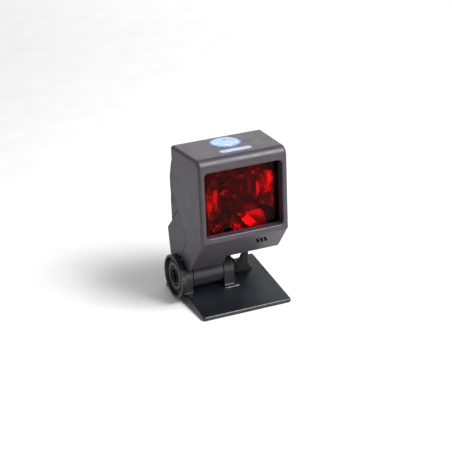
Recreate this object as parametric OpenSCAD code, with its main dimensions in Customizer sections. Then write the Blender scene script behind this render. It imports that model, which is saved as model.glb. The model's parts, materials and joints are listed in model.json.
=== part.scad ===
/* [Head] */
// Width of the head at its front face
head_w = 72.9; // [72:0.1:74]
// Width of the head at its back edge
head_back_w = 77; // [76:0.1:78]
// Height of the front face
head_h = 65.6; // [65:0.1:67]
// Wall thickness of the head's shells
wall = 2; // [1.6:0.1:2.2]
// How far the front face leans back, in degrees
lean = 4.9; // [0:0.1:8]
// Width of the leg that joins the head to the hinge
leg_w = 30; // [26:0.5:31]
// Width of the upper back cover
rear_w = 76; // [70:1:76]

/* [Window] */
// Width of the window opening
window_w = 63.7; // [58:0.1:64]
// Height of the window opening
window_h = 51.5; // [46:0.1:52]
// Height of the band of shell below the window
window_low = 4; // [3.5:0.1:6]
// Corner radius of the window opening
window_r = 3; // [2:0.5:5]

/* [Button and lights] */
// Radius of the round button
button_r = 11; // [9:0.5:11]
// Width of the lit ring around the button
halo_w = 1.4; // [1:0.1:1.6]
// How far the button travels
button_travel = 0.6; // [0.3:0.1:0.7]
// Length of the light bar
bar_l = 26; // [20:1:28]
// Width of the light bar
bar_w = 6; // [4:0.5:7]

/* [Hinge] */
// Distance of the hinge axis behind the middle of the stand
hinge_y = 19.8; // [19.4:0.1:20.2]
// Height of the hinge axis above the table
hinge_z = 19.6; // [19.5:0.1:20.5]
// Radius of the knuckle
barrel_r = 11.5; // [11:0.1:12]
// Radius of the hollow journal in the left ear
journal_r = 9.3; // [9.2:0.1:9.4]
// Radial clearance of the running fits
run_fit = 0.05; // [0.02:0.01:0.1]
// Radius of the dished ring at the cable socket
ring_r = 17.3; // [16:0.1:17.6]

/* [Stand] */
// Width of the stand at its front edge
stand_w = 75; // [72:0.5:76]
// Width of the stand at its back edge, at the bottom
stand_back_w = 80.4; // [79.6:0.1:82]
// Depth of the stand
stand_d = 68.2; // [66:0.5:72]
// Height of the stand's front edge
stand_front_h = 3.2; // [3.2:0.1:4]
// Height of the stand's back edge
stand_back_h = 12.4; // [12.2:0.1:14]

/* [Optics] */
// Radius of the polygon wheel, to its corners
wheel_r = 10.5; // [9:0.5:11]
// Number of mirror facets on the wheel
facets = 5; // [4:1:6]
// Bore of the motor's bearing
shaft_r = 1.5; // [1.2:0.1:1.8]

/* [Hidden] */
$fn = 64;
arc_steps = 6;    // chords in one rounded corner
eps = 0.01;
far = 60;         // longer than half of any piece

// The head's own frame starts at the front face's lower edge: y runs back and z up along the front face.
// The hinge axis lies behind and below that edge.
axis_back = 43.3;
axis_drop = 39.26;
head_d = 46.6;
chin_slope = 48.65;
chin_right = 27.4;   // length of the chin where it ends free
chin_left = 39.5;    // length of the chin where it runs on down the leg
leg_x0 = -38.5;
leg_x1 = leg_x0 + leg_w;

function along_chin(d) = [d * cos(chin_slope), -d * sin(chin_slope)];
kink = [26.2, -6.6];       // where the two back covers' seams meet on the side
underside = [41.2, -23.9];
seam_low = [39.2, 16.5];
seam_mid = [44.8, 34.6];
seam_high = [46.9, 50.6];
seam_top = [47, 60.9];
heel_high = [61.9, -5.5];
heel_low = [58.9, -26.3];
lip_back = 48.7;           // the top overhangs the back cover by a small lip
body_outline = [[0, 0], along_chin(chin_right), underside, kink, seam_low, seam_mid, seam_high, seam_top,
                [lip_back, 60.4], [lip_back, head_h], [0, head_h]];
body_rounds = [1.2, 1, 0.5, 0, 0, 0, 0, 0, 0.4, 2.2, 7];
hollow_rounds = [0, 0, 0, 0, 0, 0, 0, 0, 0, 0, 5.5];
leg_outline = [along_chin(10), along_chin(chin_left), [32.5, -31.9], underside, kink, [12, -4]];
saddle = [[46.5, -27.2], [53.5, -31.2]];   // the lower cover reaches down over the knuckle
lower_outline = [seam_low, kink, underside, saddle[0], saddle[1], heel_low, heel_high];
lower_rounds = [0, 0, 0.5, 0.5, 1, 2.5, 3];
rear_back = 55;            // furthest reach of the upper back cover
rear_seat = rear_back - 1.2;
low_seat = 59.5;           // where the lower case screws bear on the lower cover
rim_half = 35.8;
rear_outline = [seam_top, seam_high, seam_mid, seam_low, [rear_back, 1.2], [rear_back, 39], [52, 50]];
rear_rounds = [0, 0, 0, 0, 1.5, 8, 6];
plan_outline = [[-head_w / 2, 0], [head_w / 2, 0], [head_back_w / 2, head_d], [head_back_w / 2, 70],
                [-head_back_w / 2, 70], [-head_back_w / 2, head_d]];
plan_rounds = [3, 3, 0, 0, 0, 0];

button_at = [0.7, 33];   // centre of the button on the head's top
bar_at = [0.5, 14];
halo_r = button_r + 0.2 + halo_w;
button_board_z = 56;
pane_y = 7.4;              // depth of the window pane's front
tunnel_end = 6.8;          // the opening's own walls reach back this far
pane_t = 1.6;
post_y = pane_y + pane_t + 0.2;
plate_y = 34;              // front of the optics frame's back plate
wheel_at = [1, 26];        // spin axis of the polygon wheel, in x and z
wheel_y = 21;
wheel_t = 8;
motor_r = 8.5;
left_ear_x = [-38.6, -31.1];
barrel_x = [-30.8, -5.2];
centre_ear_x = [-4.9, 3.8];
ring_x = [-43.5, -38.9];
bush_r = 10.2;
bolt_r = 3;
socket_tilt = 16;          // lean of the cable socket, in degrees
stand_y0 = -24.6;
stand_z0 = 0.5;            // the feet lift the stand this far
stand_rise = (stand_back_h - stand_front_h) / stand_d;
function stand_top(y) = stand_front_h + (y - stand_y0) * stand_rise;
frame_post_at = [[-27.5, 58.6], [27.5, 58.6], [-27.5, 0], [27.5, 0]];
rear_screw_at = [[-25, 28], [25, 28]];
low_screw_at = [[-27, -13], [27, -13]];
ear_screw_at = [[-35.3, 10.6], [-35.3, 29], [-0.5, 10.6], [-0.5, 29], [20.3, 25]];
cover_screw_at = [[-26, 33], [26, 33]];

// 2-D helpers. Outlines run anticlockwise.
function unit(v) = v / norm(v);
function pick(list, i) = list[(i + len(list)) % len(list)];
function turn_left(v) = [-v[1], v[0]];
// Moves every edge of an outline inwards by d.
function inset(pts, d) = [
  for (i = [0 : len(pts) - 1])
    let (a = turn_left(unit(pts[i] - pick(pts, i - 1))), b = turn_left(unit(pick(pts, i + 1) - pts[i])))
      pts[i] + (a + b) * d / (1 + a * b)
];
// Rounds each corner of an outline with its own radius.
function round_corner(p, c, n, r) =
  let (u = unit(p - c), v = unit(n - c), half = acos(u * v) / 2, o = c + unit(u + v) * r / sin(half),
       s = c + u * r / tan(half) - o, e = c + v * r / tan(half) - o, a0 = atan2(s[1], s[0]),
       d = atan2(e[1], e[0]) - a0, sweep = d > 180 ? d - 360 : d < -180 ? d + 360 : d)
    [for (k = [0 : arc_steps]) o + r * [cos(a0 + sweep * k / arc_steps), sin(a0 + sweep * k / arc_steps)]];
function rounded(pts, radii) = [
  for (i = [0 : len(pts) - 1])
    each radii[i] > 0 ? round_corner(pick(pts, i - 1), pts[i], pick(pts, i + 1), radii[i]) : [pts[i]]
];
function box_outline(w, h, c = [0, 0]) = [c + [-w, -h] / 2, c + [w, -h] / 2, c + [w, h] / 2, c + [-w, h] / 2];
function round_box(w, h, r, c = [0, 0]) = rounded(box_outline(w, h, c), [r, r, r, r]);

// Extrusions along X, Y and Z between two stations.
module along_x(x0, x1) { translate([x0, 0, 0]) rotate([90, 0, 90]) linear_extrude(x1 - x0) children(); }
module along_y(y0, y1) { translate([0, y1, 0]) rotate([90, 0, 0]) linear_extrude(y1 - y0) children(); }
module along_z(z0, z1) { translate([0, 0, z0]) linear_extrude(z1 - z0) children(); }
module disc_y(p, y0, y1, r) { translate([p[0], y1, p[1]]) rotate([90, 0, 0]) cylinder(h = y1 - y0, r = r); }
module disc_z(p, z0, z1, r) { translate([p[0], p[1], z0]) cylinder(h = z1 - z0, r = r); }
module block(lo, hi) { translate(lo) cube(hi - lo); }

// Frames: the head, the chin inside it, and round things on the hinge axis.
module in_head() {
  translate([0, hinge_y, hinge_z]) rotate([-lean, 0, 0]) translate([0, -axis_back, axis_drop]) children();
}
module in_chin() { rotate([-chin_slope, 0, 0]) children(); }
module hinge_disc(x0, x1, r) {
  translate([x0, hinge_y, hinge_z]) rotate([0, 90, 0]) cylinder(h = x1 - x0, r = r);
}

// ---- Stand ----
module wedge() {
  half = stand_w / 2;
  back = stand_back_w / 2;
  top_half = back - 4;
  intersection() {
    along_z(stand_z0, stand_back_h + 1)
      polygon([[-half, stand_y0], [half, stand_y0], [back, stand_y0 + stand_d], [-back, stand_y0 + stand_d]]);
    along_x(-far, far)
      polygon([[stand_y0, stand_z0], [stand_y0 + stand_d, stand_z0], [stand_y0 + stand_d, stand_back_h - 1.5],
               [stand_y0 + stand_d - 1.5, stand_back_h - 0.2], [stand_y0, stand_front_h]]);
    along_y(-far, far) polygon([[-back, 0], [back, 0], [top_half, stand_back_h + 1], [-top_half, stand_back_h + 1]]);
  }
}
pocket = [30, -7, 38];     // half width, front and back of the hollow under the stand
cable_notch = [-10, 28.5, 40.4];   // left, right and depth of the gap in the stand's back edge
module stand_base() {
  skin = 2.2;
  color("#2b2c33") difference() {
    union() {
      difference() {
        wedge();
        along_x(-pocket[0], pocket[0])
          polygon([[pocket[1], 0], [pocket[2], 0], [pocket[2], stand_top(pocket[2]) - skin],
                   [pocket[1], stand_top(pocket[1]) - skin]]);
        block([-pocket[0] - 1.5, pocket[1] - 1.5, 0], [pocket[0] + 1.5, pocket[2] + 1.5, 1.5]);
      }
      for (p = cover_screw_at) disc_z(p, 1.5, stand_top(p[1]) - skin + 0.5, 3);
    }
    hinge_disc(-far, -38.2, ring_r + 0.9);
    for (p = foot_at) disc_z(p, 0, 1.3, foot_r + 0.1);
    hinge_disc(barrel_x[0] - 0.15, barrel_x[1] + 0.15, barrel_r + 0.5);
    for (p = ear_screw_at) disc_z(p, 0, 20, 1.1);
    for (p = ear_screw_at) disc_z(p, 0, screw_seat(p), 2.1);
    for (p = cover_screw_at) disc_z(p, 0, 6, 0.95);
    block([cable_notch[0], cable_notch[2], -1], [cable_notch[1], far, far]);
  }
}
foot_r = 3;
foot_at = [[-31, -17.5], [31, -17.5], [-35.2, 38], [35.2, 38]];
function screw_seat(p) = stand_top(p[1]) - 2.2;
module rubber_feet() {
  color("#1b1b1d") {
    for (p = foot_at) disc_z(p, 0, 1.3, foot_r);
    disc_z([0, 0], 0, 1, foot_r);
  }
}
module ear(x0, x1, bore) {
  difference() {
    union() {
      hinge_disc(x0, x1, barrel_r);
      block([x0, hinge_y - barrel_r, 1.5], [x1, hinge_y + barrel_r, hinge_z]);
    }
    wedge();
    hinge_disc(x0 - 1, x1 + 1, bore);
    for (p = ear_screw_at) disc_z(p, 0, 14, 1.05);
  }
}
module left_ear() { color("#3a3a42") ear(left_ear_x[0], left_ear_x[1], bush_r); }
module centre_ear() { color("#3a3a42") ear(centre_ear_x[0], centre_ear_x[1], bolt_r + run_fit); }
module stand_strut() {
  color("#2a2a30") difference() {
    intersection() {
      along_y(22.5, 27)
        polygon([[8, 5], [9.5, 11], [13.2, 16.5], [16.4, 19.5], [19, 25], [20.6, 34], [24, 34], [22.9, 24],
                 [22.4, 16.5], [24.5, 12.5], [27, 9.5], [27, 5]]);
      hinge_disc(0, far, barrel_r);
    }
    wedge();
    disc_z(ear_screw_at[4], 0, 15, 1.05);
  }
}
module ballast_plate() {
  color("#8d9096") difference() {
    along_z(1.8, 4.4) polygon(round_box(56, 30, 3, [0, 19]));
    for (p = ear_screw_at) disc_z(p, 0, 9, 3.4);
    for (p = cover_screw_at) disc_z(p, 0, 9, 3.3);
  }
}
module bottom_cover() {
  color("#26262b") difference() {
    along_z(stand_z0, 1.4)
      polygon(round_box(2 * pocket[0] + 2.8, pocket[2] - pocket[1] + 2.8, 1, [0, (pocket[1] + pocket[2]) / 2]));
    for (p = cover_screw_at) disc_z(p, 0, 2, 1.3);
    disc_z([0, 0], 0, 1, foot_r);
  }
}
module screw_up(p, z0, l, r, head_r, head_t) {
  disc_z(p, z0, z0 + head_t, head_r);
  disc_z(p, z0, z0 + l, r);
}
module stand_screws() {
  color("#9b9da3") {
    for (p = ear_screw_at) screw_up(p, screw_seat(p) - 1.2, 6.4, 1, 1.9, 1.2);
    for (p = cover_screw_at) screw_up(p, stand_z0 - 0.3, 4.5, 0.9, 1.2, 0.9);
  }
}
module ear_bush() {
  color("#d8d3c4") difference() {
    hinge_disc(left_ear_x[0], left_ear_x[1], bush_r);
    hinge_disc(-far, 0, journal_r + run_fit);
  }
}
module friction_washer() {
  color("#6b4a2f") difference() {
    hinge_disc(centre_ear_x[1], centre_ear_x[1] + 0.8, 6.5);
    hinge_disc(0, far, bolt_r + 0.1);
  }
}

// ---- Hinge, on the head ----
module spring_washer() {
  color("#c7c9cc") difference() {
    hinge_disc(centre_ear_x[1] + 0.85, centre_ear_x[1] + 1.6, 5.8);
    hinge_disc(0, far, bolt_r + 0.1);
  }
}
module pivot_bolt() {
  head_x = centre_ear_x[1] + 1.65;
  color("#a5a8ad") difference() {
    union() {
      hinge_disc(barrel_x[1], head_x + 2.4, bolt_r);
      hinge_disc(head_x, head_x + 2.4, 5);
      hinge_disc(-14, barrel_x[1] + 1, 2);
    }
    translate([head_x + 1, hinge_y, hinge_z]) rotate([0, 90, 0]) cylinder(h = 3, r = 2, $fn = 6);
  }
}
module hinge_barrel() {
  bore = journal_r - 1.3;
  color("#45454e") difference() {
    union() {
      hinge_disc(barrel_x[0], barrel_x[1], barrel_r);
      hinge_disc(ring_x[1], barrel_x[0] + eps, journal_r);
      in_head() in_chin() block([-22, 20, wall + 0.2], [-12, 52, wall + 2.8]);
    }
    hinge_disc(-far, -15, bore);
    hinge_disc(-far, 0, 2);
    in_head() in_chin() block([-23, 43, 5.2], [-11, 58, 9.4]);
    for (a = tang_screw_a) in_head() in_chin() disc_z([tang_x, a], 0, 9, 1.1);
  }
}
tang_x = -17;
tang_screw_a = [23, 31];
module port_ring() {
  depth = ring_x[1] - ring_x[0];
  profile = [[8, 0], [ring_r - 0.7, 0], [ring_r, 0.7], [ring_r, depth - 0.6], [ring_r - 0.6, depth],
             [ring_r - 1.8, depth], [ring_r - 2.2, depth - 0.4], [14.6, 1.3], [11.6, 1.3], [11.2, 3], [10.8, 3.3],
             [8, 3.3]];
  color("#3c3c44") translate([ring_x[1], hinge_y, hinge_z]) rotate([0, -90, 0]) rotate_extrude() polygon(profile);
}
socket_l = 15;
module in_socket() {
  translate([ring_x[1] - 3.2, hinge_y, hinge_z]) rotate([-lean - socket_tilt, 0, 0]) children();
}
module cable_socket() {
  color("#17171a") in_socket() difference() {
    along_x(0, socket_l) polygon(box_outline(8.6, 13.2));
    along_x(-1, socket_l - 2) polygon(box_outline(6.6, 11.2));
  }
}
module socket_contacts() {
  pitch = 1.02;
  color("#d5b25a") in_socket()
    for (i = [0 : 9])
      translate([0, 0, (i - 4.5) * pitch]) block([4, 2.6, -0.25], [socket_l - 2 - eps, 3.1, 0.25]);
}
module ribbon_lead() {
  run = [[42.3, -37.6], [34.3, -28.4], [31.5, -22], [33.5, -11], [36.7, -4.5], [37.2, 12], [39, 18.6], [41.5, 19.5]];
  back = [for (i = [len(run) - 1 : -1 : 0]) run[i] + [0.4, -0.45]];
  color("#b9b3a6") in_head() along_x(-22, -12) polygon(concat(run, back));
}

// ---- Head shells ----
module plan_cut(d) { along_z(-70, 80) polygon(d > 0 ? inset(plan_outline, d) : rounded(plan_outline, plan_rounds)); }
module shell_hollow(d) {
  intersection() {
    union() {
      along_x(-far, far) polygon(rounded(inset(body_outline, d), hollow_rounds));
      along_x(-far, leg_x1 - d) polygon(inset(leg_outline, d));
    }
    plan_cut(d);
  }
}
module front_shell() {
  color("#56535a") in_head() difference() {
    union() {
      difference() {
        intersection() {
          union() {
            along_x(-far, far) polygon(rounded(body_outline, body_rounds));
            along_x(-far, leg_x1) polygon(leg_outline);
          }
          plan_cut(0);
        }
        shell_hollow(wall);
        translate([0, 3.5, 0]) shell_hollow(wall);
      }
      for (p = frame_post_at) disc_y(p, post_y, plate_y, 2.6);
      along_y(wall - eps, tunnel_end) polygon(window_outline(1.4));
      intersection() {
        union() {
          for (p = low_screw_at) disc_y(p, 1, 33, 2.6);
          for (p = frame_post_at) block([p[0] - 1, post_y, p[1] > 30 ? p[1] : -14],
                                        [p[0] + 1, p[1] > 30 ? plate_y : 14, p[1] > 30 ? head_h - 1 : 0]);
        }
        along_x(-far, far) polygon(body_outline);
      }
    }
    along_y(-1, tunnel_end + 1) polygon(window_outline(0));
    disc_z(button_at, head_h - 5, head_h + 1, halo_r + 0.05);
    along_z(head_h - 5, head_h + 1) polygon(round_box(bar_l + 0.1, bar_w + 0.1, bar_w / 2 - eps, bar_at));
    for (i = [0 : 2]) in_chin() along_z(-1, wall + 1) polygon(slot_outline(i));
    in_chin() block([-23.3, 24, wall], [-10.7, 60, 12]);
    for (p = frame_post_at) disc_y(p, plate_y - 9, plate_y + 1, 1);
    for (p = low_screw_at) disc_y(p, 22, 34, 1);
    for (a = tang_screw_a) in_chin() disc_z([tang_x, a], wall - 0.8, wall + 1, 1);
  }
}
// Speaker slots: three slanted slots on the right of the chin.
function slot_outline(i) = [for (q = box_outline(2.4, 7.4)) [12.9 + 3.3 * i + q[0] + q[1] * 0.5, 10.7 + q[1]]];
module rear_cover() {
  rim = [[46.4, head_h - 2.8], seam_top, seam_high, seam_mid, seam_low];
  band = concat([for (q = rim) q - [0.15, 0]], [for (i = [4 : -1 : 0]) rim[i] - [1.8, 0]]);
  color("#73717d") in_head() difference() {
    union() {
      along_x(-rear_w / 2, rear_w / 2) polygon(rounded(rear_outline, rear_rounds));
      along_x(-rim_half, rim_half) polygon(band);
    }
    along_x(2 - rear_w / 2, rear_w / 2 - 2) polygon(inset(rear_outline, 2));
    translate([0, -3.8, 0]) along_x(2 - rear_w / 2, rear_w / 2 - 2) polygon(inset(rear_outline, 2));
    block([2 - rear_w / 2, 30, 10], [rear_w / 2 - 2, 46.2, 58.5]);
    for (p = rear_screw_at) disc_y(p, 40, far, 1.3);
    for (p = rear_screw_at) disc_y(p, rear_seat, far, 2.6);
  }
}
module lower_cover() {
  color("#3c3a42") in_head() difference() {
    union() {
      difference() {
        intersection() {
          along_x(-far, far) polygon(rounded(inset(lower_outline, 0.1), lower_rounds));
          plan_cut(0);
        }
        intersection() {
          union() {
            along_x(-far, far) polygon(inset(lower_outline, 2));
            translate([0, -4, 0]) along_x(-far, far) polygon(inset(lower_outline, 2));
          }
          plan_cut(wall);
        }
      }
      for (p = low_screw_at) disc_y(p, 33.2, low_seat, 2.6);
    }
    block([-23, 30, 8], [-11, 39.6, 20]);
    for (p = low_screw_at) disc_y(p, 30, 80, 1.3);
    for (p = low_screw_at) disc_y(p, low_seat, 80, 2.6);
  }
}
function window_outline(grow) =
  round_box(window_w + 2 * grow, window_h + 2 * grow, window_r + grow / 2, [0, window_low + window_h / 2]);
module window() {
  color("#5a0a10") in_head() along_y(pane_y, pane_y + pane_t) polygon(window_outline(1.4));
}
module window_gasket() {
  color("#1d1c20") in_head() along_y(tunnel_end, pane_y) difference() {
    polygon(window_outline(1.4));
    polygon(window_outline(0.2));
  }
}

// ---- Button and lights ----
module scan_button() {
  color("#c8e1ff") in_head() {
    disc_z(button_at, head_h - 2.8, head_h + 0.5, button_r);
    disc_z(button_at, head_h - 4.2, head_h - 2.8 + eps, button_r + 0.5);
    disc_z(button_at, plunger_top, head_h - 4, 1.7);
  }
}
plunger_top = button_board_z + 4.7;
module switch_plunger() { color("#222226") in_head() disc_z(button_at, plunger_top - 1.1, plunger_top, 1.7); }
module button_halo() {
  color("#5064b4") in_head() difference() {
    disc_z(button_at, head_h - 2.6, head_h + 0.2, halo_r);
    disc_z(button_at, head_h - 3, head_h + 1, button_r + 0.2);
  }
}
module light_bar() {
  color("#d2d7fa") in_head() union() {
    along_z(head_h - 2.2, head_h + 0.15) polygon(round_box(bar_l, bar_w, bar_w / 2 - eps, bar_at));
    along_z(head_h - 4.4, head_h - 2.2) polygon(round_box(bar_l - 4, bar_w - 2, 1, bar_at));
  }
}
module button_board() {
  color("#1f6b3a") in_head() along_z(button_board_z, button_board_z + 1.2)
    polygon(round_box(34, 34, 1.5, [button_at[0], 27.4]));
}
module button_switch() {
  color("#2a2a2e") in_head() difference() {
    along_z(button_board_z + 1.2, button_board_z + 4.3) polygon(box_outline(6, 6, button_at));
    disc_z(button_at, plunger_top - 1.4 - button_travel, button_board_z + 5, 1.9);
  }
}
led_at = [[-8, 14], [0.5, 14], [9, 14], [-7.5, 33.5], [8.9, 33.5], [0.7, 25.3], [0.7, 41.7]];
module status_leds() {
  color("#eef2ff") in_head() for (p = led_at) along_z(button_board_z + 1.2, button_board_z + 2.3)
    polygon(box_outline(2.8, 2, p));
}

// ---- Optics ----
module optics_frame() {
  color("#2b2a30") in_head() difference() {
    union() {
      along_y(plate_y, plate_y + 2) polygon(round_box(62, 66, 2, [0, 29]));
      for (s = [-1, 1]) block([s * 30 - 1, 20, 4], [s * 30 + 1, plate_y + eps, 54]);
      for (p = rear_screw_at) disc_y(p, plate_y, rear_back - 2.1, 2.8);
      disc_y(boss_at, 19, plate_y, 2.9);
    }
    disc_y(boss_at, 0, plate_y, 1.3);
    disc_y(wheel_at, 0, far, motor_r + 0.2);
    for (p = frame_post_at) disc_y(p, 0, far, 1.3);
    for (p = rear_screw_at) disc_y(p, plate_y + 6, far, 1);
    block([-18.5, 0, button_board_z - 1.5], [20, far, far + 10]);
  }
}
boss_at = [-17, 40.5];
module laser_module() {
  color("#c09a4a") in_head() difference() {
    translate([12, 26, 49.5]) rotate([0, 90, 0]) cylinder(h = 15, r = 4.2);
    translate([11, 26, 49.5]) rotate([0, 90, 0]) cylinder(h = 5, r = 3);
  }
}
module collimator_lens() {
  color("#bcd6e6") in_head() intersection() {
    translate([13.2, 26, 49.5]) rotate([0, 90, 0]) cylinder(h = 2.2, r = 2.95);
    translate([19, 26, 49.5]) sphere(r = 5.8);
  }
}
module tilted_plate(at, turn, size) { translate(at) rotate(turn) cube(size, center = true); }
module turning_mirror() { color("#d9dde2") in_head() tilted_plate([3, 26, 49.5], [0, 45, 0], [1.2, 8, 9]); }
module polygon_wheel() {
  color("#cfd3d8") in_head() difference() {
    translate([wheel_at[0], wheel_y + wheel_t, wheel_at[1]]) rotate([90, 0, 0])
      cylinder(h = wheel_t, r1 = wheel_r, r2 = wheel_r - 2.2, $fn = facets);
    disc_y(wheel_at, 0, far, shaft_r);
  }
}
module motor_shaft() { color("#b4b7bc") in_head() disc_y(wheel_at, wheel_y - 1.2, plate_y + 5, shaft_r); }
module spinner_motor() {
  color("#7f838a") in_head() difference() {
    union() {
      disc_y(wheel_at, wheel_y + wheel_t + 0.6, plate_y, motor_r - 2);
      disc_y(wheel_at, plate_y - eps, plate_y + 6, motor_r);
    }
    disc_y(wheel_at, 0, plate_y + 5.3, shaft_r + run_fit);
  }
}
module motor_board() {
  color("#1f6b3a") in_head() along_y(plate_y + 6.1, plate_y + 7.3) polygon(round_box(26, 16, 1, wheel_at));
}
module pattern_mirrors() {
  color("#d9dde2") in_head() {
    tilted_plate([-19, 17.5, 23], [0, 0, 38], [14, 1.2, 21]);
    tilted_plate([25.5, 18, 30], [0, 0, -62], [15, 1.2, 28]);
    tilted_plate([8, 15.5, 44], [-38, 0, 0], [17, 12, 1.2]);
    tilted_plate([-15, 19, 3.5], [36, 0, 40], [14, 1.2, 11]);
  }
}
module collecting_mirror() {
  color("#e3e6ea") in_head() intersection() {
    translate([10.8, 17, 5]) rotate([-42, 0, 0]) difference() {
      along_y(-4, 5) polygon(round_box(27, 16, 4));
      translate([0, -28, 0]) sphere(r = 30, $fn = 96);
    }
    block([-far, 9.6, 0.6], [far, 33, 20]);
  }
}
module detector_board() { color("#1f6b3a") in_head() block([-16, 30.4, 8], [-6, 31.6, 20]); }
module photodetector() { color("#1b1b20") in_head() block([-14, 28.6, 11], [-8, 30.4, 17]); }
module optical_filter() { color("#8a1016") in_head() block([-14, 27.7, 11], [-8, 28.5, 17]); }

// ---- Electronics ----
board_y = 45.6;
module main_board() {
  color("#1f6b3a") in_head() difference() {
    along_y(board_y, board_y + 1.6) polygon(round_box(56, 31, 1.5, [0, 30]));
    for (p = rear_screw_at) disc_y(p, 0, far, 3.1);
  }
}
module board_chips() {
  color("#1a1a1d") in_head() {
    along_y(board_y + 1.6, board_y + 3.2) polygon(box_outline(14, 14, [-8, 32]));
    along_y(board_y + 1.6, board_y + 3) polygon(box_outline(9, 6, [10, 36]));
    along_y(board_y + 1.6, board_y + 3) polygon(box_outline(6, 9, [8, 23]));
    for (x = [-18, -14, -10]) disc_y([x, 19], board_y + 1.6, board_y + 5, 1.8);
  }
}
module board_connector() { color("#e9e4d6") in_head() block([-23, 42, 17], [-11, board_y, 22]); }
module speaker() {
  color("#303036") in_head() in_chin() disc_z([16.3, 13.6], wall + 0.5, wall + 5, 7.5);
}
module speaker_gauze() {
  color("#0f0f11") in_head() in_chin() along_z(wall + 0.05, wall + 0.45) polygon(round_box(13, 10, 1, [16.3, 10.7]));
}

// ---- Fasteners in the head ----
module screw_in(p, head_y, l) {
  disc_y(p, head_y - 1.2, head_y, 2.3);
  disc_y(p, head_y - l, head_y, 0.95);
}
module case_screws() {
  color("#9b9da3") in_head() {
    for (p = rear_screw_at) screw_in(p, rear_seat + 1.2, 12);
    for (p = low_screw_at) screw_in(p, low_seat + 1.2, 30);
  }
}
module frame_screws() {
  color("#9b9da3") in_head() {
    for (p = frame_post_at) screw_in(p, plate_y + 3.2, 9);
    for (a = tang_screw_a) in_chin() {
      disc_z([tang_x, a], wall + 2.8, wall + 4, 2);
      disc_z([tang_x, a], wall - 0.8, wall + 4, 1);
    }
  }
}

stand_base();
left_ear();
centre_ear();
stand_strut();
ballast_plate();
bottom_cover();
rubber_feet();
stand_screws();
ear_bush();
friction_washer();
spring_washer();
pivot_bolt();
hinge_barrel();
port_ring();
cable_socket();
socket_contacts();
ribbon_lead();
front_shell();
rear_cover();
lower_cover();
window();
window_gasket();
scan_button();
switch_plunger();
button_halo();
light_bar();
button_board();
button_switch();
status_leds();
optics_frame();
laser_module();
collimator_lens();
turning_mirror();
polygon_wheel();
motor_shaft();
spinner_motor();
motor_board();
pattern_mirrors();
collecting_mirror();
photodetector();
optical_filter();
detector_board();
main_board();
board_chips();
board_connector();
speaker();
speaker_gauze();
case_screws();
frame_screws();
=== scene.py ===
import bpy
import bmesh
import json
import numpy as np
from math import atan2, cos, pi, radians, sin
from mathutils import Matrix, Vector


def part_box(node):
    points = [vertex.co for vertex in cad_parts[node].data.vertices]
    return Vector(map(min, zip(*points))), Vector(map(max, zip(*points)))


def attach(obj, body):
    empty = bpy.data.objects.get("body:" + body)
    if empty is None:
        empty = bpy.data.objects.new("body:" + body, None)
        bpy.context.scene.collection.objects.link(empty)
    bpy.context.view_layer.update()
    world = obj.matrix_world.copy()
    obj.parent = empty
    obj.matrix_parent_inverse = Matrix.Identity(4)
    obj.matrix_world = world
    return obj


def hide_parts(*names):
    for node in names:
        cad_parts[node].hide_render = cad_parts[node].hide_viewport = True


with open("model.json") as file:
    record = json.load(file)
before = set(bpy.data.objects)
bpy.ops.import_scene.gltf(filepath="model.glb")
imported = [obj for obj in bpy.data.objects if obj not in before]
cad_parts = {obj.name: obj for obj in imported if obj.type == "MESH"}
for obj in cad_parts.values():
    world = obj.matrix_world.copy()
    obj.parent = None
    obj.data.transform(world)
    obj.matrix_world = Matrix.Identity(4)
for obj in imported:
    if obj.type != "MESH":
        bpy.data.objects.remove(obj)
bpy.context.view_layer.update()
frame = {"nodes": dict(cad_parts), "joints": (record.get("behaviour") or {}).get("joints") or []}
nodes = frame["nodes"]
joints = {j["name"]: j for j in frame["joints"]}
milli = 0.001   # shapes are worked out in millimetres and become metres in their mesh


# places, all read off the frame
def boxOf(node):
    low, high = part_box(node)
    return np.array(low) / milli, np.array(high) / milli


earLow, earHigh = boxOf("left_ear")
hingeY = (earLow[1] + earHigh[1]) / 2
knuckleR = (earHigh[1] - earLow[1]) / 2
hingeZ = earHigh[2] - knuckleR
lean = atan2(-joints["button_press"]["axis"][1], -joints["button_press"]["axis"][2])
hingeInHead = np.array([0.0, 43.3, -39.26])   # the hinge axis seen from the front face's lower edge


def headToFrame(p):
    # head frame: x across, y back, z up along the front face; it is turned by the lean about the hinge
    x, y, z = np.moveaxis(np.asarray(p, float) - hingeInHead, -1, 0)
    return np.stack([x, y * cos(lean) + z * sin(lean) + hingeY, z * cos(lean) - y * sin(lean) + hingeZ], -1)


def chinToHead(p):
    # chin frame: y runs down the slanted chin and z points into the head
    x, y, z = np.moveaxis(np.asarray(p, float), -1, 0)
    a = radians(head["chinSlope"])
    return np.stack([x, y * cos(a) + z * sin(a), z * cos(a) - y * sin(a)], -1)


def unit(v):
    return v / np.maximum(np.linalg.norm(v, axis=-1, keepdims=True), 1e-9)


def cross2(a, b):
    return a[..., 0] * b[..., 1] - a[..., 1] * b[..., 0]


def offsetOutline(points, amounts):
    # each edge of an anticlockwise outline moves inwards by its own amount, and a corner lies where
    # two moved edges cross
    p = np.asarray(points, float)
    amounts = np.broadcast_to(np.asarray(amounts, float), (len(p),))
    way = unit(np.roll(p, -1, 0) - p)
    inward = np.stack([-way[:, 1], way[:, 0]], -1) * amounts[:, None]
    wayIn, moveIn = np.roll(way, 1, 0), np.roll(inward, 1, 0)
    turn = cross2(wayIn, way)
    straight = np.abs(turn) < 1e-4
    along = cross2(inward - moveIn, way) / np.where(straight, 1, turn)
    return np.where(straight[:, None], p + inward, p + moveIn + wayIn * along[:, None])


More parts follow.
